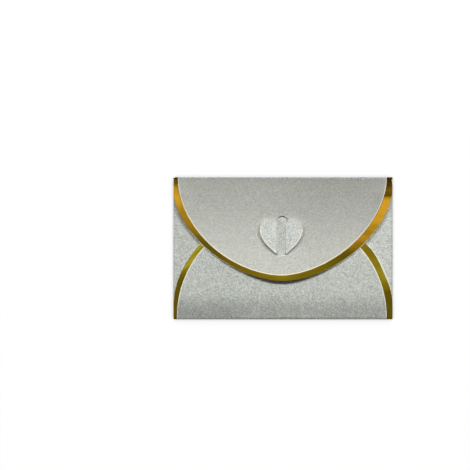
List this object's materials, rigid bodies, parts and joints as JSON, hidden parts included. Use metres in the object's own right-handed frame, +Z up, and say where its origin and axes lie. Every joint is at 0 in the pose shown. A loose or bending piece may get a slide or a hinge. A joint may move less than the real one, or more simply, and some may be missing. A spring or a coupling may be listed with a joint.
{
  "type": "gift card holder",
  "caption": "Flat pearl card envelope that holds a gift card, with a curved closing flap, gold foil rims and a heart clasp whose wings lock through a slot in the flap.",
  "frame": {"origin": "under the middle of the closed holder, on the surface it lies on, address side down", "axes": "+X from the left side fold to the right side fold as seen from the flap side, +Y from the bottom fold to the top fold that the closing flap turns on, +Z up through the panels from the address side to the flap side"},
  "size_m": [0.108, 0.07, 0.0025],
  "materials": {
    "pearl_card": "satin pearl",
    "gold_foil": "polished hot-stamped gold foil",
    "glue": "matte dry adhesive film"
  },
  "bodies": {
    "envelope": {"address_panel": "pearl_card", "left_fold": "pearl_card", "right_fold": "pearl_card", "bottom_fold": "pearl_card", "top_fold": "pearl_card", "left_side_flap": "pearl_card", "right_side_flap": "pearl_card", "left_glue_seam": "glue", "right_glue_seam": "glue", "pocket_panel": "pearl_card", "pocket_foil_rim": "gold_foil", "address_foil_frame": "gold_foil"},
    "flap": {"closing_flap": "pearl_card", "flap_foil_rim": "gold_foil"},
    "wing_left": {"clasp_wing_left": "pearl_card"},
    "wing_right": {"clasp_wing_right": "pearl_card"}
  },
  "joints": [
    {"name": "flap_hinge", "type": "hinge", "parent": "envelope", "child": "flap", "pos_m": [0, 0.034, 0.00108], "axis": [-1, 0, 0], "range_deg": [0, 178], "deforming": ["top_fold"]},
    {"name": "wing_left_crease", "type": "hinge", "parent": "envelope", "child": "wing_left", "pos_m": [-0.00325, 0.0058, 0.00196], "axis": [0, 1, 0], "range_deg": [0, 90]},
    {"name": "wing_right_crease", "type": "hinge", "parent": "envelope", "child": "wing_right", "pos_m": [0.00145, 0.0058, 0.00196], "axis": [0, -1, 0], "range_deg": [0, 90]}
  ]
}
